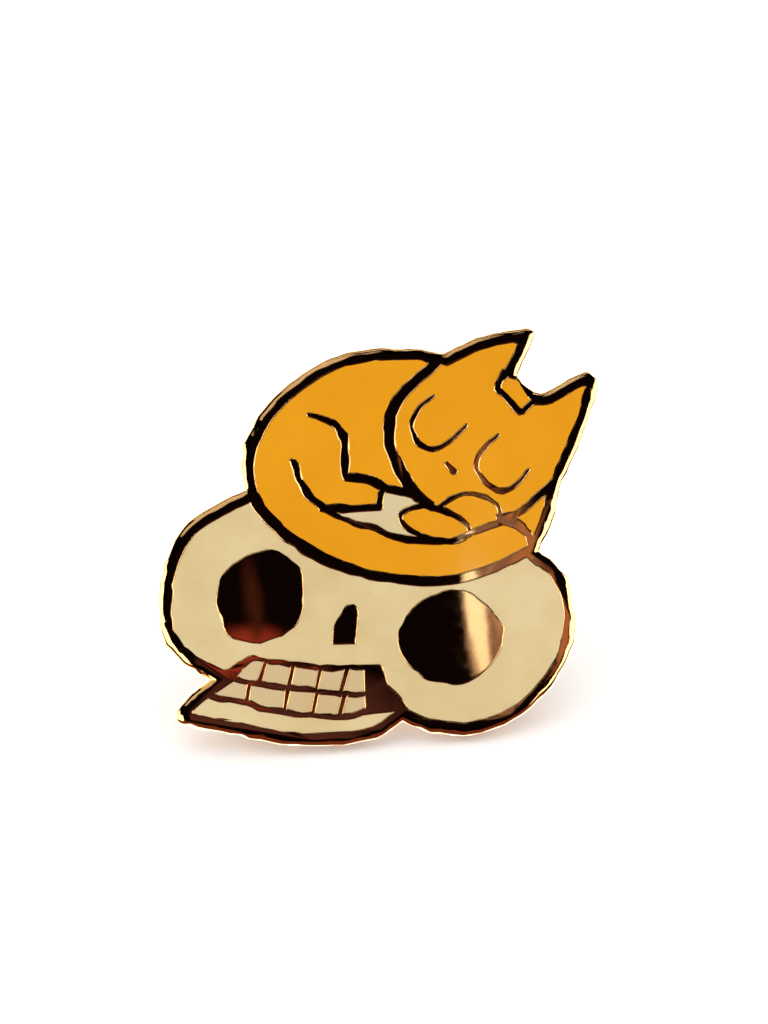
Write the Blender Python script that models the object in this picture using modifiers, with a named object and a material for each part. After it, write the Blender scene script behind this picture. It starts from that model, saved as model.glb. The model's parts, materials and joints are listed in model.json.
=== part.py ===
"""Hard enamel pin: a cat asleep on a skull, struck in one gold-plated plate.

The plate's face has recesses filled flush with enamel, and raised metal lines between them. Two nail
posts are soldered to its back, and a butterfly clutch grips each post. The pin stands the way it does
on a table: on its lower edge and on the lower wing of each clutch, leaning back.

Drawing plane: X to the right, Y up the plate, Z out of its face, with Z = 0 on the plate's back. The
empty "stance" turns that plane into the world's frame, where +Z is up and the face looks along -Y.
"""

import math

import bmesh
import bpy
from mathutils import Matrix, Vector
from mathutils.geometry import interpolate_bezier, intersect_point_line

MM = 0.001

# The plate. The drawing below is sized to this width and height.
PIN_WIDTH = 31.75 * MM
PIN_HEIGHT = 28.1 * MM
PLATE_THICKNESS = 1.6 * MM
BORDER_WIDTH = 0.93 * MM
SHOULDER_RADIUS = 0.42 * MM
BACK_EDGE_RADIUS = 0.1 * MM
ENAMEL_DEPTH = 0.45 * MM
ENAMEL_GAP = 0.02 * MM

# The posts, along -Z from the plate's back.
POST_SPACING = 13.8 * MM
POST_MIDDLE_X = -0.3 * MM
POST_HEIGHT_ON_PLATE = 7.8 * MM
POST_DIAMETER = 1.15 * MM
POST_LENGTH = 8.0 * MM
POST_TIP_LENGTH = 1.2 * MM
POST_TIP_RADIUS = 0.12 * MM
POST_GROOVE_DEPTH = 0.15 * MM
POST_GROOVE_WIDTH = 0.5 * MM
POST_GROOVE_FROM_TIP = 2.0 * MM
FOOT_DIAMETER = 2.6 * MM
FOOT_THICKNESS = 0.3 * MM
SOLDER_WIDTH = 0.7 * MM
SOLDER_HEIGHT = 0.34 * MM
SOLDER_CREEP = 0.12 * MM
SOLDER_EDGE = 0.03 * MM
SEAT_GAP = 0.02 * MM

# The butterfly clutches.
CAP_DIAMETER = 11.5 * MM
CAP_SHEET = 0.4 * MM
CAP_RIM_HEIGHT = 1.15 * MM
CAP_HOLE_DIAMETER = 1.5 * MM
CAP_STANDOFF = 0.15 * MM
FUNNEL_DIAMETER = 3.6 * MM
FUNNEL_HEIGHT = 0.5 * MM
FUNNEL_LIP = 0.2 * MM
CAP_EDGE_DRAW = 0.12 * MM
CLIP_WIDTH = 5.4 * MM
CLIP_SHEET = 0.3 * MM
FOLD_SPACING = 7.9 * MM
FOLD_RADIUS = 0.33 * MM
LEAF_ANGLE = math.radians(20)
LEAF_TRAVEL = math.radians(10)
WING_HEIGHT = 6.1 * MM
WING_BEND_RADIUS = 1.3 * MM
WING_ANGLE = math.radians(82)
WING_CORNER_RADIUS = 1.6 * MM
WAIST_WIDTH = 2.6 * MM
POST_CLEARANCE = 0.075 * MM
LEAF_CLEARANCE = 0.3 * MM
TAB_LENGTH = 2.4 * MM
TAB_REACH = 0.7 * MM
TAB_SHEET = 0.25 * MM

# Smoothness of the curves: samples from one drawn point to the next.
OUTLINE_STEPS = 5
LINE_STEPS = 4
ROUND_STEPS = 32

# The artwork, in units of the drawing. "corner" marks a point where the outline turns sharply.
SILHOUETTE = (
    (-9.42, 18.0, "corner"), (-9.5, 19.9), (-8.85, 21.9), (-7.4, 23.9), (-4.9, 25.8), (-2.2, 27.0),
    (0.6, 27.3), (3.2, 27.15), (5.1, 26.68, "corner"), (7.4, 27.6), (10.5, 28.1), (11.45, 27.85),
    (11.3, 27.0), (10.1, 24.8, "corner"), (11.15, 23.6), (12.1, 23.6), (14.85, 24.8), (15.75, 24.2),
    (15.5, 22.7), (14.0, 19.3), (12.6, 16.7), (12.2, 15.2), (11.5, 13.6), (10.75, 12.42, "corner"),
    (12.0, 11.4), (12.95, 9.3), (13.1, 7.3), (12.4, 4.9), (10.6, 2.5), (8.2, 0.8), (5.3, 0.02),
    (2.4, 0.4), (0.42, 1.28, "corner"), (-1.4, 0.27), (-4.3, 0.0), (-8.0, 0.35), (-11.5, 1.35),
    (-14.3, 2.1), (-15.05, 2.95), (-14.0, 4.25), (-12.55, 5.15, "corner"), (-14.4, 6.35),
    (-15.6, 8.2), (-15.8, 10.2), (-15.2, 13.3), (-13.7, 15.8), (-11.6, 17.1),
)  # fmt: skip

# Raised metal lines: the points each one runs through, as (x, y, width of the metal in mm).
METAL_LINES = {
    "back_over_skull": (
        (-9.3, 18.4, 0.95), (-8.35, 16.7, 0.88), (-7.1, 15.1, 0.85), (-4.9, 13.35, 0.78), (-2.4, 12.1, 0.78),
        (0.2, 11.3, 0.78), (3.0, 10.9, 0.72), (5.6, 11.0, 0.68), (8.3, 11.8, 0.7), (10.9, 12.9, 0.75),
    ),
    "neck": (
        (5.3, 26.9, 0.8), (4.2, 25.8, 0.76), (2.9, 24.8, 0.76), (1.7, 23.7, 0.8), (1.0, 22.3, 0.92),
        (0.82, 20.9, 0.98), (1.15, 19.4, 0.92), (1.7, 18.1, 0.85), (2.5, 16.95, 0.85), (3.4, 16.1, 0.7),
    ),
    "haunch_front": (
        (-4.62, 22.95, 0.42), (-3.1, 22.35, 0.5), (-2.45, 21.6, 0.6), (-2.28, 20.3, 0.66), (-2.4, 18.55, 0.7),
    ),
    "haunch_foot": ((-2.4, 18.55, 0.7), (-1.0, 18.25, 0.62), (0.4, 17.55, 0.6), (2.3, 17.05, 0.62)),
    "chest_left": ((0.3, 17.6, 0.55), (-0.05, 17.0, 0.45), (-0.2, 16.3, 0.45)),
    "tail_root": ((-5.98, 19.8, 0.5), (-5.6, 18.6, 0.55), (-5.0, 17.4, 0.62), (-3.95, 16.4, 0.6)),
    "belly": ((-4.2, 16.45, 0.55), (-2.6, 16.35, 0.56), (-0.2, 16.25, 0.55)),
    "tail_top": (
        (-3.95, 16.4, 0.5), (-2.4, 15.45, 0.5), (-0.6, 14.75, 0.5), (1.1, 14.0, 0.5), (3.4, 13.62, 0.5),
        (5.1, 13.62, 0.5), (6.0, 14.0, 0.45), (7.9, 14.52, 0.5), (9.2, 14.35, 0.5), (10.0, 13.75, 0.5),
        (10.2, 13.0, 0.6),
    ),
    "left_paw_front": (
        (4.2, 13.65, 0.4), (2.8, 13.95, 0.4), (1.5, 14.75, 0.38), (1.2, 15.4, 0.36), (1.75, 15.98, 0.4),
        (3.2, 16.15, 0.5),
    ),
    "between_paws": ((2.9, 16.2, 0.5), (4.5, 15.55, 0.48), (5.9, 14.5, 0.42), (6.0, 13.9, 0.42)),
    "right_paw_front": (
        (3.9, 15.9, 0.4), (4.9, 16.52, 0.4), (6.3, 16.72, 0.38), (7.6, 16.3, 0.38), (8.2, 15.5, 0.38),
        (8.0, 14.6, 0.42),
    ),
    "chin": ((8.1, 15.0, 0.5), (9.3, 15.15, 0.5), (10.3, 15.75, 0.55), (12.3, 17.3, 0.62)),
    "elbow": ((8.3, 14.85, 0.8), (9.2, 14.7, 0.6), (10.1, 13.7, 0.45)),
    "forehead": (
        (9.2, 25.1, 0.5), (8.72, 24.0, 0.5), (9.4, 23.1, 0.52), (10.12, 22.25, 0.5), (10.6, 22.55, 0.42),
        (11.3, 23.1, 0.42),
    ),
    "left_eye": (
        (4.15, 23.75, 0.28), (3.0, 22.9, 0.36), (2.45, 21.7, 0.42), (2.75, 20.6, 0.44), (3.85, 20.05, 0.42),
        (5.0, 20.5, 0.34), (6.25, 21.5, 0.28),
    ),
    "right_eye": (
        (8.35, 20.65, 0.3), (7.4, 19.9, 0.38), (6.75, 18.8, 0.42), (7.2, 17.6, 0.44), (8.6, 16.85, 0.42),
        (9.6, 17.3, 0.38), (10.5, 18.2, 0.3),
    ),
    "nose_line": ((4.72, 18.95, 0.38), (5.2, 18.3, 0.38)),
    "mouth_corner": ((-12.9, 5.1, 1.0), (-11.3, 5.4, 0.85), (-10.5, 5.95, 0.7)),
    "upper_gum": (
        (-10.5, 5.95, 0.55), (-9.6, 6.45, 0.45), (-8.7, 6.15, 0.45), (-7.1, 5.88, 0.45), (-5.0, 5.45, 0.45),
        (-3.2, 5.3, 0.42), (-0.95, 5.15, 0.42),
    ),
    "bite": (
        (-11.6, 5.3, 0.45), (-10.5, 5.02, 0.4), (-9.3, 4.65, 0.4), (-7.2, 4.22, 0.4), (-5.0, 3.8, 0.4),
        (-3.3, 3.5, 0.42), (-1.9, 3.35, 0.4),
    ),
    "lower_gum": (
        (-12.7, 4.15, 0.5), (-11.8, 3.78, 0.45), (-10.2, 3.32, 0.42), (-9.3, 2.95, 0.45), (-7.7, 2.58, 0.42),
        (-6.0, 2.22, 0.42), (-4.7, 2.03, 0.42), (-3.3, 1.95, 0.45), (-2.0, 2.2, 0.42), (0.3, 2.3, 0.42),
    ),
}  # fmt: skip

# Where the metal between two teeth leaves the upper and the lower row's top line, and how far it leans.
UPPER_TOOTH_LINES = (-8.8, -6.8, -4.95, -3.2)
LOWER_TOOTH_LINES = (-9.85, -7.25, -5.3, -3.45)
TOOTH_LINE_WIDTH = 0.34
TOOTH_LEAN = 0.3

# Islands of polished metal: eye sockets, nose hollow and the blank end of the mouth.
ISLANDS = {
    "left_socket": (
        (-11.88, 10.4), (-11.2, 12.4), (-9.6, 13.5), (-7.8, 13.82), (-6.2, 12.6), (-5.8, 10.7), (-6.4, 8.6),
        (-8.4, 7.55), (-10.8, 7.85),
    ),
    "right_socket": (
        (0.42, 6.75), (1.0, 8.3), (2.1, 9.45), (3.7, 10.05), (5.3, 10.05), (6.9, 8.95), (7.9, 7.3),
        (7.6, 5.8), (6.5, 4.45), (4.8, 3.6), (2.9, 3.9), (1.4, 4.85),
    ),
    "nose_hollow": (
        (-2.65, 9.72), (-2.15, 8.6), (-2.4, 6.92, "corner"), (-4.05, 7.02, "corner"), (-3.95, 8.2),
        (-3.35, 9.05),
    ),
    "blank_mouth": (
        (-2.05, 5.3, "corner"), (-0.75, 5.3, "corner"), (-0.5, 4.1), (0.1, 3.4), (0.85, 2.1),
        (0.6, 1.5, "corner"), (0.05, 2.2), (-1.0, 2.3), (-2.25, 2.1, "corner"),
    ),
}  # fmt: skip

# The patch between the ears reaches nearer to the edge than the border's width allows.
FOREHEAD_PATCH = (
    (9.42, 24.68, "corner"), (9.95, 24.38, "corner"), (10.95, 23.05, "corner"), (10.4, 22.2, "corner"),
    (8.7, 23.9, "corner"),
)  # fmt: skip

# One point inside each enamel cell, with the colour that fills it.
CELLS = {
    "enamel_cat_body": (-4.0, 24.5, "orange"),
    "enamel_cat_head": (9.0, 22.0, "orange"),
    "enamel_forehead_patch": (9.9, 23.5, "orange"),
    "enamel_left_paw": (3.5, 14.95, "orange"),
    "enamel_right_paw": (6.6, 15.6, "orange"),
    "enamel_hind_leg": (10.5, 14.7, "orange"),
    "enamel_chest": (0.9, 15.5, "chest"),
    "enamel_skull": (-1.0, 8.5, "bone"),
    "enamel_jaw": (-7.0, 1.7, "bone"),
    "enamel_upper_tooth_1": (-9.8, 5.5, "tooth"),
    "enamel_upper_tooth_2": (-8.0, 5.2, "tooth"),
    "enamel_upper_tooth_3": (-6.1, 4.8, "tooth"),
    "enamel_upper_tooth_4": (-4.3, 4.5, "tooth"),
    "enamel_upper_tooth_5": (-2.7, 4.3, "tooth"),
    "enamel_lower_tooth_1": (-11.0, 4.3, "tooth"),
    "enamel_lower_tooth_2": (-8.8, 3.7, "tooth"),
    "enamel_lower_tooth_3": (-6.6, 3.2, "tooth"),
    "enamel_lower_tooth_4": (-4.6, 2.9, "tooth"),
    "enamel_lower_tooth_5": (-2.9, 2.75, "tooth"),
}

# Colour, metallic, roughness.
FINISHES = {
    "gold_plate": ((0.83, 0.55, 0.3), 1.0, 0.1),
    "orange": ((0.84, 0.35, 0.02), 0.0, 0.15),
    "bone": ((0.74, 0.56, 0.31), 0.0, 0.15),
    "chest": ((0.71, 0.58, 0.38), 0.0, 0.15),
    "tooth": ((0.71, 0.53, 0.29), 0.0, 0.15),
    "solder": ((0.62, 0.6, 0.56), 1.0, 0.4),
    "brass": ((0.76, 0.58, 0.28), 1.0, 0.25),
}


def clear_scene():
    for obj in list(bpy.data.objects):
        bpy.data.objects.remove(obj, do_unlink=True)


def finish(name):
    """The material of this name, made when it is first asked for."""
    material = bpy.data.materials.get(name)
    if material is None:
        colour, metallic, roughness = FINISHES[name]
        material = bpy.data.materials.new(name)
        material.use_nodes = True
        shader = material.node_tree.nodes["Principled BSDF"]
        shader.inputs["Base Color"].default_value = (*colour, 1.0)
        shader.inputs["Metallic"].default_value = metallic
        shader.inputs["Roughness"].default_value = roughness
    return material


def new_collection(name):
    collection = bpy.data.collections.new(name)
    bpy.context.scene.collection.children.link(collection)
    return collection


def give_finish(obj, name):
    obj.data.materials.clear()
    obj.data.materials.append(finish(name))


# Outlines: points in the plane, worked out from the few that are drawn.
def smooth_points(knots, closed, steps):
    """Samples of a smooth curve through the knots; a knot marked "corner" keeps its angle."""
    places = [Vector(knot[:2]) for knot in knots]
    count = len(places)

    def direction(i):
        at_end = not closed and i in (0, count - 1)
        if at_end or "corner" in knots[i]:
            return None
        return (places[(i + 1) % count] - places[i - 1]).normalized()

    samples = []
    for i in range(count if closed else count - 1):
        j = (i + 1) % count
        third = (places[j] - places[i]) / 3
        start, end = direction(i), direction(j)
        handle_1 = places[i] + (start * third.length if start else third)
        handle_2 = places[j] - (end * third.length if end else third)
        span = interpolate_bezier(places[i], handle_1, handle_2, places[j], steps + 1)
        samples += [Vector(point[:2]) for point in span[:-1]]
    return samples if closed else samples + [places[-1]]


def edge_normals(points):
    """For each point of a closed outline drawn clockwise, the unit vector out of the outline."""
    normals = []
    for i, point in enumerate(points):
        before = (point - points[i - 1]).normalized()
        after = (points[(i + 1) % len(points)] - point).normalized()
        along = (before + after).normalized()
        normals.append(Vector((-along.y, along.x)) / max(along.dot(after), 0.5))
    return normals


def distance_to_outline(point, outline):
    nearest = math.inf
    for i, corner in enumerate(outline):
        before = outline[i - 1]
        place, along = intersect_point_line(point, before, corner)
        place = before if along < 0 else corner if along > 1 else place.to_2d()
        nearest = min(nearest, (point - place).length)
    return nearest


def inset(outline, distance):
    """The outline moved inwards, without the loops that a tight corner would leave."""
    moved = [point - normal * distance for point, normal in zip(outline, edge_normals(outline))]
    kept = abs(distance) * 0.995 - 0.0001 * MM
    return [point for point in moved if distance_to_outline(point, outline) > kept]


def arc_points(centre, radius, start, end, steps):
    angles = [start + (end - start) * i / steps for i in range(steps + 1)]
    return [Vector((centre[0] + radius * math.cos(a), centre[1] + radius * math.sin(a))) for a in angles]


def line_outline(points, widths, cap_steps=5):
    """The outline of a line of varying width with round ends."""
    left, right = [], []
    for i, point in enumerate(points):
        along = (points[min(i + 1, len(points) - 1)] - points[max(i - 1, 0)]).normalized()
        side = Vector((-along.y, along.x)) * widths[i] / 2
        left.append(point + side)
        right.append(point - side)
    heading = [(points[1] - points[0]), (points[-1] - points[-2])]
    first, last = (math.atan2(h.y, h.x) for h in heading)
    quarter = math.pi / 2
    nose = arc_points(points[-1], widths[-1] / 2, last + quarter, last - quarter, cap_steps)
    tail = arc_points(points[0], widths[0] / 2, first - quarter, first - 3 * quarter, cap_steps)
    return left[:-1] + nose + right[-2:0:-1] + tail


def drawn_line(knots, extra, to_plate):
    """The outline of a metal line of the drawing, widened by extra."""
    steps = LINE_STEPS
    points = [to_plate(point) for point in smooth_points(knots, False, steps)]
    widths = []
    for i, knot in enumerate(knots[:-1]):
        widths += [knot[2] + (knots[i + 1][2] - knot[2]) * k / steps for k in range(steps)]
    widths.append(knots[-1][2])
    return line_outline(points, [width * MM + extra for width in widths])


# Solids.
def flat_solid(name, outlines, low, high, collection, matrix=None):
    """Flat outlines, where one inside another is a hole, made into a solid from low to high."""
    curve = bpy.data.curves.new(name, "CURVE")
    curve.dimensions = "2D"
    curve.fill_mode = "BOTH"
    curve.extrude = (high - low) / 2
    for outline in outlines:
        spline = curve.splines.new("POLY")
        spline.points.add(len(outline) - 1)
        for spline_point, point in zip(spline.points, outline):
            spline_point.co = (point[0], point[1], 0, 1)
        spline.use_cyclic_u = True
    drawn = bpy.data.objects.new(name + "_curve", curve)
    drawn.matrix_world = (matrix or Matrix()) @ Matrix.Translation((0, 0, (low + high) / 2))
    collection.objects.link(drawn)
    solid = mesh_of(drawn, name, collection)
    bpy.data.curves.remove(curve)
    return solid


def mesh_of(source, name, collection):
    """A mesh object with the evaluated shape of source, welded and with its flat faces whole."""
    bpy.context.view_layer.update()
    graph = bpy.context.evaluated_depsgraph_get()
    mesh = bpy.data.meshes.new_from_object(source.evaluated_get(graph), depsgraph=graph)
    mesh.transform(source.matrix_world)
    bm = bmesh.new()
    bm.from_mesh(mesh)
    bmesh.ops.remove_doubles(bm, verts=bm.verts, dist=1e-7)
    bmesh.ops.dissolve_limit(bm, angle_limit=math.radians(0.1), verts=bm.verts, edges=bm.edges)
    bmesh.ops.recalc_face_normals(bm, faces=bm.faces)
    bm.to_mesh(mesh)
    bm.free()
    obj = bpy.data.objects.new(name, mesh)
    collection.objects.link(obj)
    bpy.data.objects.remove(source)
    return obj


def turned_solid(name, profile, collection, steps=ROUND_STEPS):
    """A profile of (radius, height) points, listed down its outer side, turned about Z."""
    mesh = bpy.data.meshes.new(name)
    on_axis = profile[0][0] == 0
    count = len(profile)
    edges = [(i, i + 1) for i in range(count - 1)] + ([] if on_axis else [(count - 1, 0)])
    mesh.from_pydata([(radius, 0, height) for radius, height in profile], edges, [])
    obj = bpy.data.objects.new(name, mesh)
    collection.objects.link(obj)
    screw = obj.modifiers.new("turn", "SCREW")
    screw.axis = "Z"
    screw.angle = math.tau
    screw.steps = screw.render_steps = steps
    screw.use_merge_vertices = True
    screw.merge_threshold = 1e-6
    screw.use_smooth_shade = True
    return obj


def cut(obj, cutter, operation="DIFFERENCE", solver="EXACT"):
    """Adds a Boolean to obj; the cutter stays as a wire guide."""
    cutter.hide_render = True
    cutter.display_type = "WIRE"
    boolean = obj.modifiers.new(cutter.name, "BOOLEAN")
    boolean.operation = operation
    boolean.solver = solver
    boolean.object = cutter


def place(obj, parent, location=(0, 0, 0)):
    """Hangs obj on a parent, with its own origin at location in the parent's frame."""
    obj.parent = parent
    obj.location = location


# The artwork.
def drawing_to_plate():
    """A function from the drawing's units to the plate's plane in metres."""
    drawn = smooth_points(SILHOUETTE, True, OUTLINE_STEPS)
    left = min(point.x for point in drawn)
    right = max(point.x for point in drawn)
    low = min(point.y for point in drawn)
    high = max(point.y for point in drawn)
    x_scale = PIN_WIDTH / (right - left)
    y_scale = PIN_HEIGHT / (high - low)
    return lambda point: Vector(((point[0] - (left + right) / 2) * x_scale, (point[1] - low) * y_scale))


def height_of_line(line, x):
    """The drawing's height of a metal line's middle at x."""
    points = smooth_points(METAL_LINES[line], False, LINE_STEPS)
    for a, b in zip(points, points[1:]):
        if a.x <= x <= b.x:
            return a.y + (b.y - a.y) * (x - a.x) / (b.x - a.x)
    return points[-1].y


def tooth_lines():
    """The short metal lines between the teeth, from each row's top line to its bottom line."""
    lines = []
    rows = ((UPPER_TOOTH_LINES, "upper_gum", "bite"), (LOWER_TOOTH_LINES, "bite", "lower_gum"))
    for row, top_line, bottom_line in rows:
        for x in row:
            top = height_of_line(top_line, x)
            drop = top - height_of_line(bottom_line, x)
            foot = x - TOOTH_LEAN * drop
            low_end = height_of_line(bottom_line, foot)
            lines.append(((x, top, TOOTH_LINE_WIDTH), (foot, low_end, TOOTH_LINE_WIDTH)))
    return lines


def artwork_cells(name, gap, low, high, to_plate, collection):
    """All the areas that the metal lines enclose, each a separate body of one object, shrunk by gap."""
    silhouette = [to_plate(point) for point in smooth_points(SILHOUETTE, True, OUTLINE_STEPS)]
    field = flat_solid(name, [inset(silhouette, BORDER_WIDTH + gap)], low, high, collection)
    metal = new_collection(name + "_metal")
    patch = [to_plate(point) for point in smooth_points(FOREHEAD_PATCH, True, 1)]
    patch_solid = flat_solid(name + "_patch", [inset(patch, gap)], low, high, collection)
    cut(field, patch_solid, "UNION", "MANIFOLD")
    below, above = low - 1 * MM, high + 1 * MM
    for i, knots in enumerate([*METAL_LINES.values(), *tooth_lines()]):
        flat_solid(f"{name}_line_{i}", [drawn_line(knots, 2 * gap, to_plate)], below, above, metal)
    for island, knots in ISLANDS.items():
        outline = [to_plate(point) for point in smooth_points(knots, True, OUTLINE_STEPS)]
        flat_solid(f"{name}_{island}", [inset(outline, -gap)], below, above, metal)
    boolean = field.modifiers.new("metal", "BOOLEAN")
    boolean.operation = "DIFFERENCE"
    boolean.solver = "MANIFOLD"
    boolean.operand_type = "COLLECTION"
    boolean.collection = metal
    cells = mesh_of(field, name, collection)
    for line in list(metal.objects):
        bpy.data.objects.remove(line)
    bpy.data.collections.remove(metal)
    bpy.data.objects.remove(patch_solid)
    return cells


def split_enamel(cells, to_plate, collection, parent):
    """Makes each body of the cells object a node of its own, named for what it shows."""
    bpy.context.view_layer.objects.active = cells
    cells.select_set(True)
    bpy.ops.object.mode_set(mode="EDIT")
    bpy.ops.mesh.separate(type="LOOSE")
    bpy.ops.object.mode_set(mode="OBJECT")
    pieces = list(bpy.context.selected_objects)
    bpy.context.view_layer.update()
    for name, (x, y, colour) in CELLS.items():
        spot = to_plate((x, y)).to_3d()
        spot.z = 2 * PLATE_THICKNESS
        piece = next(p for p in pieces if p.ray_cast(spot, (0, 0, -1))[0])
        pieces.remove(piece)
        piece.name = name
        piece.data.name = name
        piece.select_set(False)
        give_finish(piece, colour)
        place(piece, parent)
    for sliver in pieces:
        bpy.data.objects.remove(sliver)


def base_plate(cutters, parts, parent, to_plate):
    """The struck plate: its outline, the round shoulder and the recesses."""
    silhouette = [to_plate(point) for point in smooth_points(SILHOUETTE, True, OUTLINE_STEPS)]
    plate = flat_solid("base_plate", [silhouette], 0, PLATE_THICKNESS, parts)
    weights = plate.data.attributes.new("bevel_weight_edge", "FLOAT", "EDGE")
    for edge, weight in zip(plate.data.edges, weights.data):
        heights = [plate.data.vertices[i].co.z for i in edge.vertices]
        if min(heights) > PLATE_THICKNESS / 2:
            weight.value = 1.0
        elif max(heights) < PLATE_THICKNESS / 2:
            weight.value = BACK_EDGE_RADIUS / SHOULDER_RADIUS
    bevel = plate.modifiers.new("shoulder", "BEVEL")
    bevel.limit_method = "WEIGHT"
    bevel.offset_type = "OFFSET"
    bevel.width = SHOULDER_RADIUS
    bevel.segments = 3
    bevel.use_clamp_overlap = False
    floor = PLATE_THICKNESS - ENAMEL_DEPTH
    recesses = artwork_cells("recesses", 0, floor, 2 * PLATE_THICKNESS, to_plate, cutters)
    cut(plate, recesses, solver="MANIFOLD")
    give_finish(plate, "gold_plate")
    place(plate, parent)
    place(recesses, parent)


# The posts.
def post_profile():
    """Radius and height points down the post, from the tip, which points along +Z here."""
    radius = POST_DIAMETER / 2
    tip = POST_LENGTH
    groove = tip - POST_GROOVE_FROM_TIP
    slope = POST_GROOVE_DEPTH
    return [
        (0, tip), (POST_TIP_RADIUS, tip - POST_TIP_RADIUS / 4), (radius, tip - POST_TIP_LENGTH),
        (radius, groove + slope), (radius - POST_GROOVE_DEPTH, groove),
        (radius - POST_GROOVE_DEPTH, groove - POST_GROOVE_WIDTH),
        (radius, groove - POST_GROOVE_WIDTH - slope), (radius, SEAT_GAP + FOOT_THICKNESS),
        (FOOT_DIAMETER / 2, SEAT_GAP + FOOT_THICKNESS), (FOOT_DIAMETER / 2, SEAT_GAP), (0, SEAT_GAP),
    ]  # fmt: skip


def solder_profile():
    """The fillet round the post's foot, hollow towards its outer corner."""
    inner = FOOT_DIAMETER / 2 + SEAT_GAP
    outer = inner + SOLDER_WIDTH
    middle = inner + SOLDER_WIDTH / 2
    top = SEAT_GAP + SOLDER_HEIGHT
    return [
        (inner, top), (inner + SOLDER_CREEP, top - SOLDER_EDGE), (middle, SEAT_GAP + SOLDER_HEIGHT / 3),
        (outer, SEAT_GAP + SOLDER_EDGE), (outer, SEAT_GAP), (inner, SEAT_GAP),
    ]  # fmt: skip


# The butterfly clutch, in a frame of its own: X across the strip, Y from wing to wing, and Z away from
# the plate, with Z = 0 on the inner face of the cap's disc. Profiles are drawn as (Y, Z) points.
def cap_profile():
    radius = CAP_DIAMETER / 2
    hole = CAP_HOLE_DIAMETER / 2
    funnel = FUNNEL_DIAMETER / 2
    lip = CAP_SHEET / 2
    inside = radius - CAP_SHEET
    return [
        (radius - lip, CAP_RIM_HEIGHT), (radius, CAP_RIM_HEIGHT - lip), (radius, 0),
        (radius - CAP_EDGE_DRAW, CAP_EDGE_DRAW - CAP_SHEET), (inside, -CAP_SHEET), (funnel, -CAP_SHEET),
        (hole, FUNNEL_HEIGHT - CAP_SHEET), (hole, FUNNEL_HEIGHT), (hole + FUNNEL_LIP, FUNNEL_HEIGHT),
        (funnel, 0), (inside, 0), (inside, CAP_RIM_HEIGHT - lip),
    ]  # fmt: skip


SHEET_TO_CLUTCH = Matrix(((0, 0, 1, 0), (1, 0, 0, 0), (0, 1, 0, 0), (0, 0, 0, 1)))
FOLD_Z = SEAT_GAP + CLIP_SHEET / 2 + FOLD_RADIUS


def leaf_path():
    """The middle line of a leaf whose fold is at -Y and whose wing is at +Y."""
    fold = Vector((-FOLD_SPACING / 2, FOLD_Z))
    path = arc_points(fold, FOLD_RADIUS, -math.pi / 2, -1.5 * math.pi + LEAF_ANGLE, 7)
    along = Vector((math.cos(LEAF_ANGLE), math.sin(LEAF_ANGLE)))
    wing_y = FOLD_SPACING / 2 - CLIP_SHEET
    start = path[-1]
    run = (wing_y - WING_BEND_RADIUS * 0.8 - start.x) / along.x
    bend_start = start + along * run
    side = Vector((-along.y, along.x))
    centre = bend_start + side * WING_BEND_RADIUS
    first = LEAF_ANGLE - math.pi / 2
    path += arc_points(centre, WING_BEND_RADIUS, first, WING_ANGLE - math.pi / 2, 5)
    rise = WING_HEIGHT - path[-1].y
    path.append(path[-1] + Vector((rise / math.tan(WING_ANGLE), rise)))
    return path


def rounded_wing(cutters, name):
    """The strip's outline seen along Y: straight sides and round corners at the wing's end."""
    half = CLIP_WIDTH / 2
    top = WING_HEIGHT + CLIP_SHEET
    corner = WING_CORNER_RADIUS
    outline = [Vector((half, -1 * MM))]
    outline += arc_points((half - corner, top - corner), corner, 0, math.pi / 2, 6)
    outline += arc_points((corner - half, top - corner), corner, math.pi / 2, math.pi, 6)
    outline.append(Vector((-half, -1 * MM)))
    to_clutch = Matrix.Rotation(math.pi / 2, 4, "X")
    return flat_solid(name, [outline], -CAP_DIAMETER, CAP_DIAMETER, cutters, to_clutch)


def box_outline(x, y):
    return [Vector((x[0], y[0])), Vector((x[1], y[0])), Vector((x[1], y[1])), Vector((x[0], y[1]))]


def crossing_reach():
    """How far from the post's axis the leaves are open, for the post and for each other's crossing."""
    overlap = CLIP_SHEET / 2 / math.sin(LEAF_ANGLE)
    post = POST_DIAMETER / 2 + POST_CLEARANCE
    stretch = 1 / math.cos(LEAF_ANGLE + LEAF_TRAVEL) - 1 / math.cos(LEAF_ANGLE)
    shift = FOLD_SPACING / 2 * stretch * math.cos(LEAF_ANGLE)
    return max(overlap, post) + shift + LEAF_CLEARANCE


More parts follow.
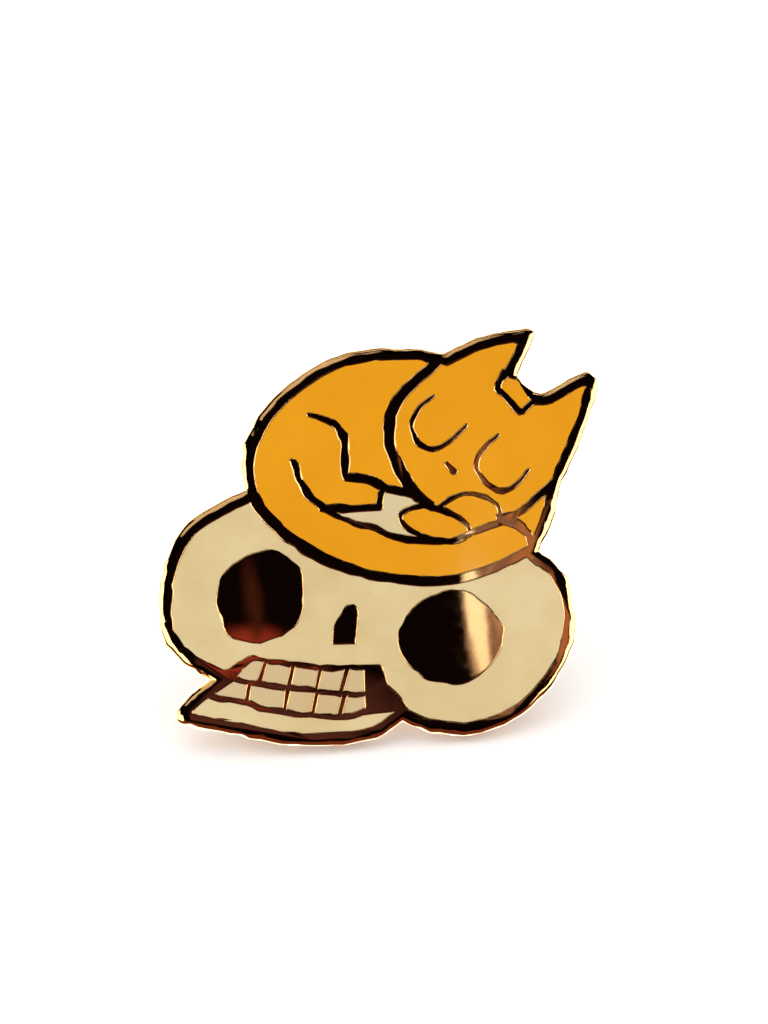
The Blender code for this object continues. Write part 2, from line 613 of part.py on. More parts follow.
def leaf(name, turn, crossing, cutters, parts, hinge_parent):
    """One spring leaf with its wing. The crossing is "window", for the outer leaf, or "waist"."""
    path = leaf_path()
    strip = line_outline(path, [CLIP_SHEET] * len(path), cap_steps=3)
    half = CLIP_WIDTH / 2
    body = flat_solid(name, [strip], -half, half, parts, SHEET_TO_CLUTCH)
    corners = rounded_wing(cutters, name + "_corners")
    reach = crossing_reach()
    if crossing == "window":
        window = WAIST_WIDTH / 2 + LEAF_CLEARANCE
        plans = [box_outline((-window, window), (-reach, reach))]
    else:
        waist = WAIST_WIDTH / 2
        slot = POST_DIAMETER / 2 + POST_CLEARANCE
        far = half + 1 * MM
        plans = [
            box_outline((waist, far), (-reach - LEAF_CLEARANCE, reach + LEAF_CLEARANCE)),
            box_outline((-far, -waist), (-reach - LEAF_CLEARANCE, reach + LEAF_CLEARANCE)),
            box_outline((-slot, slot), (-reach, reach)),
        ]
    opening = flat_solid(name + "_opening", plans, FOLD_Z + FOLD_RADIUS, WING_HEIGHT, cutters)
    cut(body, corners, "INTERSECT")
    cut(body, opening)
    for obj in (body, corners, opening):
        obj.data.transform(Matrix.Translation((0, FOLD_SPACING / 2, -FOLD_Z)))
        obj.data.transform(Matrix.Rotation(turn, 4, "Z"))
        fold_y = -FOLD_SPACING / 2 * math.cos(turn)
        place(obj, hinge_parent, (0, fold_y, FOLD_Z))
    give_finish(body, "brass")
    return body


def clip_base(name, cutters, parts, parent):
    """The flat middle of the clip strip, held under the cap's two tabs."""
    fold_swing = FOLD_RADIUS * math.sin(LEAF_TRAVEL) + CLIP_SHEET / 2
    half_length = FOLD_SPACING / 2 - fold_swing - 2 * SEAT_GAP
    half = CLIP_WIDTH / 2
    hole = arc_points((0, 0), FUNNEL_DIAMETER / 2 + 0.3 * MM, 0, math.tau, ROUND_STEPS)[:-1]
    outline = box_outline((-half, half), (-half_length, half_length))
    base = flat_solid(name, [outline, hole], SEAT_GAP, SEAT_GAP + CLIP_SHEET, parts)
    give_finish(base, "brass")
    place(base, parent)


def clutch_cap(name, cutters, parts, parent):
    """The round cap with its rolled rim, and the two tabs that are folded over the clip."""
    cap = turned_solid(name, cap_profile(), parts, steps=40)
    inner = CLIP_WIDTH / 2 + SEAT_GAP
    over = 2 * SEAT_GAP + CLIP_SHEET
    tab = [
        Vector((inner, -CAP_SHEET / 2)), Vector((inner, over)), Vector((inner - TAB_REACH, over)),
        Vector((inner - TAB_REACH, over + TAB_SHEET)), Vector((inner + TAB_SHEET, over + TAB_SHEET)),
        Vector((inner + TAB_SHEET, -CAP_SHEET / 2)),
    ]  # fmt: skip
    upright = Matrix.Rotation(math.pi / 2, 4, "X")
    for side in (-1, 1):
        outline = [Vector((side * point.x, point.y)) for point in tab]
        solid = flat_solid(f"{name}_tab_{side}", [outline], -TAB_LENGTH / 2, TAB_LENGTH / 2, cutters, upright)
        cut(cap, solid, "UNION")
        place(solid, parent)
    give_finish(cap, "brass")
    place(cap, parent)


def hardware(side_name, side, cutters, parts, stance):
    """A post with its solder, and the butterfly clutch that slides on it."""
    x = POST_MIDDLE_X + side * POST_SPACING / 2
    mount = bpy.data.objects.new("post_axis_" + side_name, None)
    parts.objects.link(mount)
    place(mount, stance, (x, POST_HEIGHT_ON_PLATE, 0))
    mount.rotation_euler = (math.pi, 0, 0)
    post = turned_solid("post_" + side_name, post_profile(), parts, steps=24)
    give_finish(post, "gold_plate")
    place(post, mount)
    solder = turned_solid("solder_" + side_name, solder_profile(), parts)
    give_finish(solder, "solder")
    place(solder, mount)
    slide = bpy.data.objects.new("clutch_slide_" + side_name, None)
    parts.objects.link(slide)
    cap_front = SEAT_GAP + max(FOOT_THICKNESS, SOLDER_HEIGHT) + CAP_STANDOFF
    place(slide, mount, (0, 0, cap_front + CAP_SHEET))
    clutch_cap("clutch_cap_" + side_name, cutters, parts, slide)
    clip_base("clutch_clip_" + side_name, cutters, parts, slide)
    leaf("clutch_lower_wing_" + side_name, 0, "window", cutters, parts, slide)
    leaf("clutch_upper_wing_" + side_name, math.pi, "waist", cutters, parts, slide)


def leaning_angle():
    """How far the plate leans back, with its lower edge and the lower wings on the table."""
    cap_inner = SEAT_GAP + max(FOOT_THICKNESS, SOLDER_HEIGHT) + CAP_STANDOFF + CAP_SHEET
    end = leaf_path()[-1]
    reach = POST_HEIGHT_ON_PLATE - end.x - BACK_EDGE_RADIUS
    depth = cap_inner + end.y + BACK_EDGE_RADIUS
    difference = CLIP_SHEET / 2 - BACK_EDGE_RADIUS
    return math.acos(difference / math.hypot(reach, depth)) - math.atan2(depth, reach)


def stand_on_table(stance, parts):
    """Moves the whole pin so that it stands on Z = 0, with its box centred on the origin."""
    stance.rotation_euler = (math.pi / 2 - leaning_angle(), 0, 0)
    bpy.context.view_layer.update()
    graph = bpy.context.evaluated_depsgraph_get()
    corners = []
    for obj in parts.objects:
        if obj.type == "MESH":
            solid = obj.evaluated_get(graph)
            corners += [solid.matrix_world @ vertex.co for vertex in solid.data.vertices]
    lows = [min(corner[axis] for corner in corners) for axis in range(3)]
    highs = [max(corner[axis] for corner in corners) for axis in range(3)]
    stance.location = (-(lows[0] + highs[0]) / 2, -(lows[1] + highs[1]) / 2, -lows[2])


def main():
    clear_scene()
    bpy.context.scene.unit_settings.system = "METRIC"
    parts = new_collection("enamel_pin")
    cutters = new_collection("enamel_pin_cutters")
    stance = bpy.data.objects.new("stance", None)
    parts.objects.link(stance)
    to_plate = drawing_to_plate()
    base_plate(cutters, parts, stance, to_plate)
    low = PLATE_THICKNESS - ENAMEL_DEPTH + ENAMEL_GAP
    cells = artwork_cells("enamel", ENAMEL_GAP, low, PLATE_THICKNESS, to_plate, parts)
    split_enamel(cells, to_plate, parts, stance)
    for side_name, side in (("left", -1), ("right", 1)):
        hardware(side_name, side, cutters, parts, stance)
    for obj in parts.objects:
        if obj.type == "MESH":
            obj.data.shade_smooth()
            obj.data.set_sharp_from_angle(angle=math.radians(30))
    stand_on_table(stance, parts)


main()
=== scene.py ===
# %% [markdown]
# # An enamel pin, finished around its frame
#
# The pin is a struck metal plate whose hollows are filled with coloured enamel, with two nail posts on its
# back and a sprung butterfly clutch on each post. The frame gives every piece its place and its motion.
# This script gives the pieces their finish: rounded metal edges, polish, enamel, solder and pressed brass.
#
# The frame's meshes are imported from model.glb and its record is read from model.json. Each mesh is freed
# from its parent with its place baked into it, and everything that isn't a mesh is removed.

import json
import math

import bpy
from mathutils import Matrix, Vector

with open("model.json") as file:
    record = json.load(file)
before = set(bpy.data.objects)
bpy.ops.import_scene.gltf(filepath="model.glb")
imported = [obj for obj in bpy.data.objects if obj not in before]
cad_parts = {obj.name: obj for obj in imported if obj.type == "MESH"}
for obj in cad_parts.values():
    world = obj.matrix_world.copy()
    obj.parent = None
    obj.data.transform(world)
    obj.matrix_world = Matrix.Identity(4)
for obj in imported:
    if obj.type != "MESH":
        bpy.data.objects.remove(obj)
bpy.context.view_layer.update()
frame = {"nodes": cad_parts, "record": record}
nodes = frame["nodes"]
MM = 0.001


# %% [markdown]
# The plate leans back on the table, so most places are easier to say in the plate's own frame: X to the
# right, Y up the plate and Z out of its face, starting at the plate's lower back edge. The lean could be
# typed in as an angle. It is read from the record instead, as the axis of the mount on the flat front, so
# that a change of the frame is followed.

# %% The plate's own frame
mounts = {mount["name"]: mount for mount in frame["record"]["mounts"]}
FACE = Vector(mounts["front_face"]["axis"]).normalized()
RIGHT = Vector((1, 0, 0))
UP_PLATE = FACE.cross(RIGHT)


def reach(node, direction):
    """How far a node's solid reaches, lowest and highest, along a direction."""
    values = [vertex.co.dot(direction) for vertex in nodes[node].data.vertices]
    return min(values), max(values)


bottom, top = reach("base_plate", UP_PLATE)
back, front = reach("base_plate", FACE)
PLATE = Matrix((RIGHT, UP_PLATE, FACE)).transposed().to_4x4()
PLATE.translation = UP_PLATE * bottom + FACE * back
THICKNESS = front - back
LEAN = math.asin(FACE.z)
print(f"plate {THICKNESS / MM:.2f} mm thick and {(top - bottom) / MM:.1f} mm tall")
print(f"lean {math.degrees(LEAN):.1f} degrees")

# %% [markdown]
# The camera is a short telephoto some way off. A wide lens close by would fill the frame as well, but it
# would stretch the near side of the pin. It stands a little to the left and looks almost square onto the
# leaning face.


# %% Camera
def direction_to(azimuth, elevation):
    """Which way a place lies: azimuth round to the right from the front, elevation up, in radians."""
    level = math.cos(elevation)
    return Vector((math.sin(azimuth) * level, -math.cos(azimuth) * level, math.sin(elevation)))


CAMERA_AZIMUTH = math.radians(-8)
CAMERA_ELEVATION = LEAN - math.radians(1)
CAMERA_DISTANCE = 197.2 * MM
LENS_MM = 100
NEAREST_SEEN = 10 * MM
AIM_ON_PLATE = (0, 14 * MM, THICKNESS)
AIM_UP = 1.89 * MM
TO_CAMERA = direction_to(CAMERA_AZIMUTH, CAMERA_ELEVATION)
camera_turn = TO_CAMERA.to_track_quat("Z", "Y").to_matrix().to_4x4()
aim = PLATE @ Vector(AIM_ON_PLATE) + camera_turn.col[1].to_3d() * AIM_UP
camera = bpy.data.objects.new("camera", bpy.data.cameras.new("camera"))
bpy.context.scene.collection.objects.link(camera)
camera.matrix_world = Matrix.Translation(aim + TO_CAMERA * CAMERA_DISTANCE) @ camera_turn
camera.data.lens = LENS_MM
camera.data.clip_start = NEAREST_SEEN
bpy.context.scene.camera = camera
print("camera at", [round(value, 4) for value in camera.location])

# %% [markdown]
# ## Helpers for materials
#
# Every finish is a small graph of nodes. It could be drawn in the node editor. In code, one function adds a
# node, sets its properties and fills or links its inputs, so a finish reads from top to bottom. An input
# that is given a node takes that node's first output in use. Colours are written as the hex values seen on
# a screen, and one function turns them to linear light.


# %% Node and colour helpers
def linear(hex_colour):
    """A screen colour such as #E9B872 as linear red, green, blue and alpha."""
    channels = [int(hex_colour[i : i + 2], 16) / 255 for i in (1, 3, 5)]
    return tuple(c / 12.92 if c <= 0.04045 else ((c + 0.055) / 1.055) ** 2.4 for c in channels) + (1.0,)


def add(material, kind, inputs=None, **settings):
    """Adds a node of this kind. An input is a number, a colour, another node or one of its outputs."""
    node = material.node_tree.nodes.new("ShaderNode" + kind)
    for name, value in settings.items():
        setattr(node, name, value)
    for socket, value in (inputs or {}).items():
        if isinstance(value, bpy.types.Node):
            value = next(output for output in value.outputs if output.enabled)
        if isinstance(value, bpy.types.NodeSocket):
            material.node_tree.links.new(value, node.inputs[socket])
        else:
            node.inputs[socket].default_value = value
    return node


def new_material(name):
    material = bpy.data.materials.new(name)
    material.use_nodes = True
    material.node_tree.nodes.clear()
    return material


def per_mm(size_mm):
    """The scale of a pattern whose features are about this many millimetres across."""
    return 1 / (size_mm * MM)


FIRST, SECOND = 6, 7  # the Mix node's two colour inputs
MOST_OF_CLOUD = (0.35, 0.7)  # most of a noise pattern's values lie between these
print("a 1 mm pattern has scale", per_mm(1))

# %% [markdown]
# ## Gold plate over a polished strike
#
# The plate is struck from soft metal, ground flush with the enamel, polished on a buff and plated. A buff
# leaves a mirror with a slow waviness, a couple of millimetres from crest to crest, and fine scratches. The
# back is never ground: it keeps the grain of the blasted die. Front and back could be two materials, but
# the plating is one coat. So one material does both, and tells the back by how deep a point lies.
#
# A struck edge is never sharp, and the bright hairline along each raised line is a tiny round that catches
# the light. A Bevel modifier breaks the plate's faces, so the Bevel node rounds the shading instead and
# leaves the mesh alone.

# %% Gold plate
GOLD = "#E6B87C"
GOLD_DEEP = "#D9A365"
TONE_MM = 3.5
BUFFED_MM = 0.6
BUFFED_ROUGHNESS = (0.005, 0.03)
BACK_ROUGHNESS = 0.26
BACK_SKIN_MM = (0.02, 0.08)  # the back's finish fades out between these depths
WAVE_MM, WAVE_DEPTH_MM = 2.6, 0.002
SCRATCH_MM, SCRATCH_DEPTH_MM = 0.5, 0.00015
SCRATCH_STRETCH = (1, 14, 14)  # so a scratch is 0.5 mm long and 0.04 mm wide: wider than real, to show
GRAIN_MM, GRAIN_DEPTH_MM = 0.09, 0.02  # coarser than a real blasted grain, so that it shows
HAIRLINE_MM = 0.15
HAIRLINE_SAMPLES = 6


def gold_plate():
    material = new_material("gold_plate_on_polished_strike")
    place = add(material, "TexCoord").outputs["Object"]
    depth = add(material, "VectorMath", {0: place, 1: tuple(FACE)}, operation="DOT_PRODUCT")
    skin_from, skin_to = (back + skin * MM for skin in BACK_SKIN_MM)
    fade = {"Value": depth, "From Min": skin_from, "From Max": skin_to, "To Min": 1.0, "To Max": 0.0}
    on_back = add(material, "MapRange", fade)

    tone = add(material, "TexNoise", {"Vector": place, "Scale": per_mm(TONE_MM), "Detail": 3.0})
    colours = {0: tone, FIRST: linear(GOLD), SECOND: linear(GOLD_DEEP)}
    colour = add(material, "Mix", colours, data_type="RGBA")

    buffed = add(material, "TexNoise", {"Vector": place, "Scale": per_mm(BUFFED_MM), "Detail": 4.0})
    low, high = MOST_OF_CLOUD
    sharp, soft = BUFFED_ROUGHNESS
    spread = {"Value": buffed, "From Min": low, "From Max": high, "To Min": sharp, "To Max": soft}
    polish = add(material, "MapRange", spread)
    dull = add(material, "Math", {0: on_back, 1: BACK_ROUGHNESS}, operation="MULTIPLY")
    rough = add(material, "Math", {0: polish, 1: dull}, operation="ADD")

    wave = add(material, "TexNoise", {"Vector": place, "Scale": per_mm(WAVE_MM), "Detail": 1.0})
    drawn_out = add(material, "Mapping", {"Vector": place, "Scale": SCRATCH_STRETCH})
    scratches = add(material, "TexNoise", {"Vector": drawn_out, "Scale": per_mm(SCRATCH_MM)})
    blasted = add(material, "TexNoise", {"Vector": place, "Scale": per_mm(GRAIN_MM)})
    grain = add(material, "Math", {0: blasted, 1: on_back}, operation="MULTIPLY")
    normal = add(material, "Bevel", {"Radius": HAIRLINE_MM * MM}, samples=HAIRLINE_SAMPLES)
    layers = ((wave, WAVE_DEPTH_MM), (scratches, SCRATCH_DEPTH_MM), (grain, GRAIN_DEPTH_MM))
    for height, depth_mm in layers:
        relief = {"Height": height, "Distance": depth_mm * MM, "Strength": 1.0, "Normal": normal}
        normal = add(material, "Bump", relief)

    coat = {"Base Color": colour, "Metallic": 1.0, "Roughness": rough, "Normal": normal}
    add(material, "OutputMaterial", {"Surface": add(material, "BsdfPrincipled", coat)})
    return material


gold = gold_plate()
print("gold plate:", len(gold.node_tree.nodes), "nodes")

# %% [markdown]
# ## Enamel
#
# The "enamel" is an epoxy resin with pigment, poured into the hollows, cured, ground level and polished.
# It is opaque and glossy, with an index near 1.5. Up close the pigment has settled a little unevenly, and
# the odd speck of dust or tiny bubble is trapped in it. One plain colour would look like paint, so slow
# noise mixes two tones. The middles of Voronoi cells make the specks, and only those that the surface cuts
# through show.

# %% Enamel
RESIN_IOR = 1.5
SETTLED_MM = 4.0
SETTLED_RANGE = (0.3, 0.7)
SPECK_SPACING_MM = 1.3
SPECK_RADIUS = 0.045  # as a share of the spacing, so a speck is about 0.1 mm across
SPECK_STRENGTH = 0.55
LEVELLED_MM = 0.8
LEVELLED_ROUGHNESS = (0.05, 0.13)
SAG_MM, SAG_DEPTH_MM = 3.0, 0.008


def enamel(name, light, dark, speck):
    material = new_material("polished_resin_enamel_" + name)
    place = add(material, "TexCoord").outputs["Object"]
    cloud = add(material, "TexNoise", {"Vector": place, "Scale": per_mm(SETTLED_MM), "Detail": 3.0})
    low, high = SETTLED_RANGE
    settled = add(material, "MapRange", {"Value": cloud, "From Min": low, "From Max": high})
    tones = {0: settled, FIRST: linear(light), SECOND: linear(dark)}
    body = add(material, "Mix", tones, data_type="RGBA")

    cells = add(material, "TexVoronoi", {"Vector": place, "Scale": per_mm(SPECK_SPACING_MM)})
    edge = {"Value": cells, "From Min": SPECK_RADIUS / 2, "From Max": SPECK_RADIUS}
    specks = add(material, "MapRange", {**edge, "To Min": SPECK_STRENGTH, "To Max": 0.0})
    speckled = {0: specks, FIRST: body, SECOND: linear(speck)}
    colour = add(material, "Mix", speckled, data_type="RGBA")

    levelled = add(material, "TexNoise", {"Vector": place, "Scale": per_mm(LEVELLED_MM), "Detail": 4.0})
    low, high = MOST_OF_CLOUD
    glossy, satin = LEVELLED_ROUGHNESS
    spread = {"Value": levelled, "From Min": low, "From Max": high, "To Min": glossy, "To Max": satin}
    rough = add(material, "MapRange", spread)

    sag = add(material, "TexNoise", {"Vector": place, "Scale": per_mm(SAG_MM), "Detail": 1.0})
    normal = add(material, "Bump", {"Height": sag, "Distance": SAG_DEPTH_MM * MM, "Strength": 1.0})
    resin = {"Base Color": colour, "Roughness": rough, "Normal": normal, "IOR": RESIN_IOR}
    add(material, "OutputMaterial", {"Surface": add(material, "BsdfPrincipled", resin)})
    return material


orange = enamel("orange", "#E59B1A", "#E09418", "#BE7216")
cream = enamel("cream", "#DEC899", "#D2B985", "#AE9266")
chest = enamel("pale_cream", "#D7C8A2", "#D2BC8E", "#AE9972")
tooth = enamel("tooth", "#D2BA90", "#CCB082", "#A48962")
print("enamel colours:", [material.name for material in (orange, cream, chest, tooth)])

# %% [markdown]
# ## Pressed brass
#
# A butterfly clutch is pressed from thin brass strip: bright, but softer than the plated face, and with the
# faint lines that the rolls left along the strip. Anisotropy could stand for the lines. Noise squeezed
# together across the strip shows them one by one, and drives both the roughness and a shallow relief. The
# lines are drawn about 0.02 mm wide and 0.35 mm long. Real ones are finer, and wouldn't show, and longer.

# %% Brass sheet
BRASS = "#DDB870"
BRASS_DARK = "#C79A4E"
TARNISH_MM, TARNISH_DEPTH_MM = 2.2, 0.006
ROLLING_MM, ROLLING_DEPTH_MM = 0.35, 0.003
ROLLING_STRETCH = (16, 1, 1)
ROLLED_ROUGHNESS = (0.16, 0.34)
SHEET_RANGE = (0.3, 0.7)


def brass_sheet():
    material = new_material("pressed_brass_sheet")
    place = add(material, "TexCoord").outputs["Object"]
    tarnish = add(material, "TexNoise", {"Vector": place, "Scale": per_mm(TARNISH_MM), "Detail": 4.0})
    tones = {0: tarnish, FIRST: linear(BRASS), SECOND: linear(BRASS_DARK)}
    colour = add(material, "Mix", tones, data_type="RGBA")

    drawn_out = add(material, "Mapping", {"Vector": place, "Scale": ROLLING_STRETCH})
    rolling = add(material, "TexNoise", {"Vector": drawn_out, "Scale": per_mm(ROLLING_MM), "Detail": 3.0})
    low, high = SHEET_RANGE
    bright, soft = ROLLED_ROUGHNESS
    spread = {"Value": rolling, "From Min": low, "From Max": high, "To Min": bright, "To Max": soft}
    rough = add(material, "MapRange", spread)

    lines = {"Height": rolling, "Distance": ROLLING_DEPTH_MM * MM, "Strength": 1.0}
    dents = {"Height": tarnish, "Distance": TARNISH_DEPTH_MM * MM, "Strength": 1.0}
    normal = add(material, "Bump", {**dents, "Normal": add(material, "Bump", lines)})
    sheet = {"Base Color": colour, "Metallic": 1.0, "Roughness": rough, "Normal": normal}
    add(material, "OutputMaterial", {"Surface": add(material, "BsdfPrincipled", sheet)})
    return material


brass = brass_sheet()
print("brass:", len(brass.node_tree.nodes), "nodes")

# %% [markdown]
# ## Solder
#
# Each post's foot is held by a ring of tin solder that froze as it flowed. It is grey, uneven and dull next
# to the plating. One cloud gives it all three: its tone, its roughness and its relief change together, as
# they do where the metal froze in patches.

# %% Tin solder
TIN = "#C9C5BC"
TIN_DARK = "#8F8A80"
FROZEN_MM, FROZEN_DEPTH_MM = 0.5, 0.03
FROZEN_ROUGHNESS = (0.3, 0.55)


def tin_solder():
    material = new_material("tin_solder_as_it_froze")
    place = add(material, "TexCoord").outputs["Object"]
    frozen = add(material, "TexNoise", {"Vector": place, "Scale": per_mm(FROZEN_MM), "Detail": 5.0})
    tones = {0: frozen, FIRST: linear(TIN), SECOND: linear(TIN_DARK)}
    colour = add(material, "Mix", tones, data_type="RGBA")
    low, high = SHEET_RANGE
    bright, dull = FROZEN_ROUGHNESS
    spread = {"Value": frozen, "From Min": low, "From Max": high, "To Min": bright, "To Max": dull}
    rough = add(material, "MapRange", spread)
    normal = add(material, "Bump", {"Height": frozen, "Distance": FROZEN_DEPTH_MM * MM, "Strength": 1.0})
    metal = {"Base Color": colour, "Metallic": 1.0, "Roughness": rough, "Normal": normal}
    add(material, "OutputMaterial", {"Surface": add(material, "BsdfPrincipled", metal)})
    return material


solder = tin_solder()
print("solder:", len(solder.node_tree.nodes), "nodes")

# %% [markdown]
# Each piece could be given its finish by name. The record already says which material slot each node
# takes, so the finishes go on by slot. That way nothing is missed and left plain.

# %% Put the finishes on the pieces
FINISH_OF_SLOT = {
    "gold_plate": gold,
    "orange_enamel": orange,
    "cream_enamel": cream,
    "chest_enamel": chest,
    "tooth_enamel": tooth,
    "brass": brass,
    "solder": solder,
}
for entry in frame["record"]["subparts"]:
    piece = nodes[entry["node"]]
    piece.data.materials.clear()
    piece.data.materials.append(FINISH_OF_SLOT[entry["material_slot"]])

# %% [markdown]
# ## Hand-cut lines
#
# The frame's outlines are smooth, but the lines of a real die are cut by hand, so each edge wanders, about
# once a millimetre. Half of the points move by less than 0.05 mm, nine in ten by less than 0.12 mm, and
# none by more than 0.23 mm. Every outline could be redrawn with the wander in it. Displace modifiers are
# simpler: they read the same two cloud patterns for the metal and the enamel, so the fills stay in step
# with their hollows. One pattern shifts points across the plate, and the other shifts them up and down it.
# That takes two shifts, and the second reads the pattern where the first left the point, so a point also
# leaves the plate's plane by up to 0.01 mm.

# %% Hand-cut wander
WANDER_MM = 0.42  # between the pattern's two extremes, in each direction
WANDER_LENGTH_MM = 0.9


def wander_pattern(name, depth):
    pattern = bpy.data.textures.new(name, "CLOUDS")
    pattern.noise_scale = WANDER_LENGTH_MM * MM
    pattern.noise_depth = depth
    pattern.noise_basis = "ORIGINAL_PERLIN"
    return pattern


across, along = wander_pattern("across", 0), wander_pattern("along", 1)
WANDERS = (("X", across, 1.0), ("Y", along, UP_PLATE.y), ("Z", along, UP_PLATE.z))


def hand_cut(piece):
    for direction, pattern, share in WANDERS:
        shift = piece.modifiers.new("wander_" + direction, "DISPLACE")
        shift.texture = pattern
        shift.texture_coords = "LOCAL"
        shift.direction = direction
        shift.mid_level = 0.5
        shift.strength = WANDER_MM * MM * share


print("up the plate is", [round(value, 3) for value in UP_PLATE])

# %% [markdown]
# ## Faces of the plate and the enamel
#
# The plate's rim is rounded and its faces are mirror flat. The frame's faces come as loose triangles, which
# would shade as facets, so they are welded first. Smooth shading alone would bend the flats' reflections
# near every edge. So sharp edges are split, and weighted normals let the largest faces decide.

# %% Weld, wander and shade the plate and the enamel
WELD_WITHIN = 0.001 * MM
SHARP_ANGLE = math.radians(40)
NORMAL_WEIGHT = 80


def welded(piece):
    for name in ("custom_normal", "sharp_edge", "sharp_face"):
        if name in piece.data.attributes:
            piece.data.attributes.remove(piece.data.attributes[name])
    for polygon in piece.data.polygons:
        polygon.use_smooth = True
    piece.modifiers.new("weld", "WELD").merge_threshold = WELD_WITHIN


def keep_flats_flat(piece):
    piece.modifiers.new("flats", "WEIGHTED_NORMAL").weight = NORMAL_WEIGHT


worked = [name for name in nodes if name.startswith(("base_plate", "enamel"))]
for name in worked:
    welded(nodes[name])
    hand_cut(nodes[name])
    nodes[name].modifiers.new("sharp_edges", "EDGE_SPLIT").split_angle = SHARP_ANGLE
    keep_flats_flat(nodes[name])
print("plate and enamel pieces:", len(worked))

# %% [markdown]
# ## Edges of the hardware
#
# Posts, solder and clutches are bought in, and their outlines are true. Pressed strip and drawn wire have
# slightly rounded edges. Their shapes are simple, so a narrow Bevel modifier works here where it doesn't on
# the plate: triangles are first joined into whole faces, and then the sharp edges are rounded.

# %% Round the hardware's edges
CLUTCH_EDGE_MM = 0.04
POST_EDGE_MM = 0.03
SAME_FACE_ANGLE = math.radians(0.5)


def round_edges(piece, width_mm):
    whole = piece.modifiers.new("whole_faces", "DECIMATE")
    whole.decimate_type = "DISSOLVE"
    whole.angle_limit = SAME_FACE_ANGLE
    edge = piece.modifiers.new("edge", "BEVEL")
    edge.width = width_mm * MM
    edge.segments = 2
    edge.limit_method = "ANGLE"
    edge.angle_limit = SHARP_ANGLE
    edge.use_clamp_overlap = True


hardware = [name for name in nodes if name not in worked]
for name in hardware:
    welded(nodes[name])
    round_edges(nodes[name], CLUTCH_EDGE_MM if name.startswith("clutch") else POST_EDGE_MM)
    keep_flats_flat(nodes[name])
print("hardware pieces:", len(hardware))

# %% [markdown]
# ## The room and the table
#
# The pin stands on white paper in a white room, so the enamel's plain colours are lit evenly from all
# round. The paper gives a little light of its own, as a lit table does, which keeps the shadow close to
# the pin. Polished surfaces don't see the room or the paper: what they mirror is built in the next steps.

# %% Room and table
ROOM_WHITE = "#FFFFFF"
PAPER_WHITE = "#F6F6F6"
PAPER_ROUGHNESS = 0.9
PAPER_GLOW = 0.16
TABLE_SIZE = 3.0
bpy.context.scene.view_settings.view_transform = "Standard"
world = bpy.data.worlds.new("white_room")
bpy.context.scene.world = world
world.use_nodes = True
world.node_tree.nodes["Background"].inputs["Color"].default_value = linear(ROOM_WHITE)
world.node_tree.nodes["Background"].inputs["Strength"].default_value = 1.0
world.cycles_visibility.glossy = False

paper = new_material("white_paper")
sheet = {"Base Color": linear(PAPER_WHITE), "Roughness": PAPER_ROUGHNESS}
sheet.update({"Emission Color": linear(ROOM_WHITE), "Emission Strength": PAPER_GLOW})
add(paper, "OutputMaterial", {"Surface": add(paper, "BsdfPrincipled", sheet)})
bpy.ops.mesh.primitive_plane_add(size=TABLE_SIZE)
table = bpy.context.object
table.name = "table"
table.data.materials.append(paper)
table.visible_glossy = False
print("table", TABLE_SIZE, "m across")

# %% [markdown]
# ## Cards for the reflections
#
# Polished metal shows what stands round it, so a jeweller's photographer places cards where the metal
# mirrors them, and this does the same. The cards show only in reflections, the enamel's among them: they
# cast no shadow, light no dull surface and are never seen directly.


# %% Hanging a card
def glowing(name):
    """A material that gives light and nothing else, and its light node."""
    material = new_material(name)
    glow = add(material, "Emission")
    add(material, "OutputMaterial", {"Surface": glow})
    return material, glow


def hang(name, towards, distance, size, material):
    """Hangs a card of this width and height facing the pin, so many metres off in a direction."""
    bpy.ops.mesh.primitive_plane_add(size=1)
    card = bpy.context.object
    card.name = name
    for vertex in card.data.vertices:
        vertex.co.x *= size[0]
        vertex.co.y *= size[1]
    turn = towards.to_track_quat("Z", "Y").to_matrix().to_4x4()
    card.matrix_world = Matrix.Translation(aim + towards * distance) @ turn
    card.data.materials.append(material)
    card.visible_camera = False
    card.visible_diffuse = False
    card.visible_shadow = False
    return card


mirrored = (2 * TO_CAMERA.dot(FACE) * FACE - TO_CAMERA).normalized()
print("the flats mirror what lies towards", [round(value, 3) for value in mirrored])

# %% [markdown]
# The flats of the plate all face one way, so one card fills them. It is nearly black, as a dark studio
# behind the camera is, and has warm patches of red-brown, rose gold and cream. Patches could be objects of
# their own. Drawn in the card's material, each is one line of a table: an oval with a hard or a soft edge.

# %% Dark card with warm patches
CARD_DISTANCE = 1.06 * CAMERA_DISTANCE
CARD_SIZE = (240 * MM, 200 * MM)
CARD_SCALE = 1 + CARD_DISTANCE / CAMERA_DISTANCE  # a length on the card, for one mirrored in the plate
AIM_HEIGHT = AIM_ON_PLATE[1] + AIM_UP
DARK = "#0E0808"
# Each patch: its place, half width and half height as mirrored in the plate (all in mm), its colour and
# strength, and how soft its edge is, from 0 for hard to 1 for soft. A patch shows about 1 mm further right
# than its place says. The cause wasn't found, so the places were shifted until they looked right.
PATCHES = (
    ((-10.0, 1.4), (9.0, 4.2), "#64404A", 0.8, 0.5),
    ((-10.6, 7.4), (2.6, 1.7), "#96403C", 1.1, 0.5),
    ((-9.8, 11.0), (0.5, 2.6), "#4A2A28", 0.8, 0.9),
    ((14.2, 6.0), (2.6, 6.5), "#C58A78", 1.0, 0.6),
    ((7.2, 18.4), (1.5, 1.8), "#B98468", 0.8, 0.8),
    ((9.6, 13.0), (2.6, 1.6), "#C09078", 1.0, 0.7),
    ((7.0, 7.0), (2.5, 9.0), "#9A7F80", 1.0, 0.06),
    ((5.35, 8.2), (0.65, 5.0), "#E2E8F4", 2.3, 0.3),
    ((6.9, 8.6), (0.45, 2.4), "#D8C0C0", 1.0, 0.8),
)


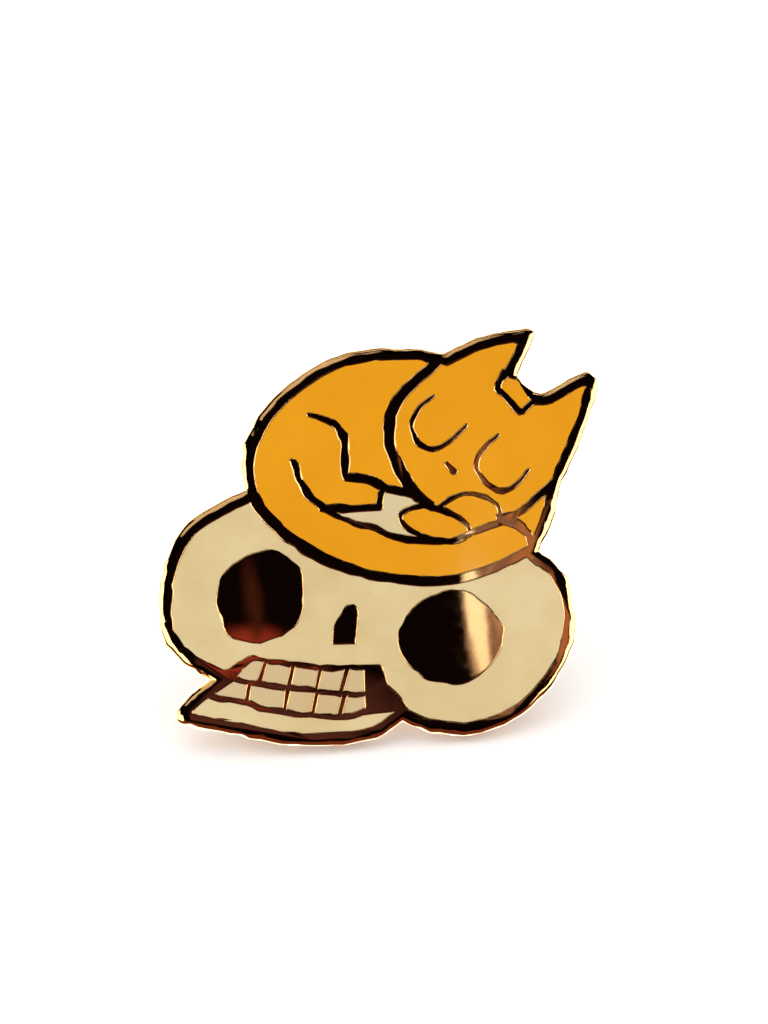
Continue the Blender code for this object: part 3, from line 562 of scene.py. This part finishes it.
def patched_card():
    material, glow = glowing("dark_card_with_patches")
    place = add(material, "TexCoord").outputs["Object"]
    colour = linear(DARK)
    for (x, y), (half_x, half_y), hex_colour, strength, soft in PATCHES:
        centre = (x * MM * CARD_SCALE, (y * MM - AIM_HEIGHT) * CARD_SCALE, 0)
        shrink = (1 / (half_x * MM * CARD_SCALE), 1 / (half_y * MM * CARD_SCALE), 1)
        offset = add(material, "VectorMath", {0: place, 1: centre}, operation="SUBTRACT")
        scaled = add(material, "VectorMath", {0: offset, 1: shrink}, operation="MULTIPLY")
        away = add(material, "VectorMath", {0: scaled}, operation="LENGTH")
        edge = {"Value": away, "From Min": 1 - soft / 2, "From Max": 1 + soft / 2}
        inside = add(material, "MapRange", {**edge, "To Min": 1.0, "To Max": 0.0})
        bright = tuple(channel * strength for channel in linear(hex_colour)[:3]) + (1.0,)
        colour = add(material, "Mix", {0: inside, FIRST: colour, SECOND: bright}, data_type="RGBA")
    result = next(output for output in colour.outputs if output.enabled)
    material.node_tree.links.new(result, glow.inputs["Color"])
    return material


dark_card = hang("dark_card", mirrored, CARD_DISTANCE, CARD_SIZE, patched_card())
print("dark card at", [round(value, 3) for value in dark_card.location])

# %% [markdown]
# The rounded rim and the hairlines face every way, so each of them finds whatever stands to that side.
# Bright panels at the left and right turn the rim nearly white there. A narrow strip above and a white
# backdrop behind give it thin bright lines, and a warm panel below turns its lower edge red-brown.

# %% Bright panels for the rounded edges
LAMP_WHITE = "#FFFCF4"
WARM = "#8A4A3C"
# Each panel: degrees to the right and up, distance, width and height in mm, strength and colour.
PANELS = {
    "panel_left": (-68, 0, 300, (560, 250), 4.6, LAMP_WHITE),
    "panel_right": (72, 4, 300, (480, 230), 4.6, LAMP_WHITE),
    "strip_above": (0, 112, 400, (500, 60), 3.0, LAMP_WHITE),
    "backdrop": (180, -29, 300, (900, 900), 3.0, LAMP_WHITE),
    "warm_below": (0, -52, 300, (620, 400), 0.8, WARM),
}
for name, (azimuth, elevation, distance, (width, height), strength, colour) in PANELS.items():
    material, glow = glowing(name + "_glow")
    glow.inputs["Color"].default_value = linear(colour)
    glow.inputs["Strength"].default_value = strength
    towards = direction_to(math.radians(azimuth), math.radians(elevation))
    hang(name, towards, distance * MM, (width * MM, height * MM), material)
print("panels:", len(PANELS))

# %% [markdown]
# The room alone would light the pin from all sides alike. One large, weak lamp above and to the left gives
# the enamel a direction of light, and the shadow a side.

# %% Soft key light
KEY_SIZE = 350 * MM
KEY_WATTS = 0.35
KEY_FROM_PIN = Vector((-150, -120, 450)) * MM
key = bpy.data.objects.new("soft_key", bpy.data.lights.new("soft_key", "AREA"))
bpy.context.scene.collection.objects.link(key)
key.data.size = KEY_SIZE
key.data.energy = KEY_WATTS
key.location = aim + KEY_FROM_PIN
key.rotation_euler = (aim - key.location).to_track_quat("-Z", "Y").to_euler()
print("key light", round(KEY_FROM_PIN.length, 2), "m from the pin")
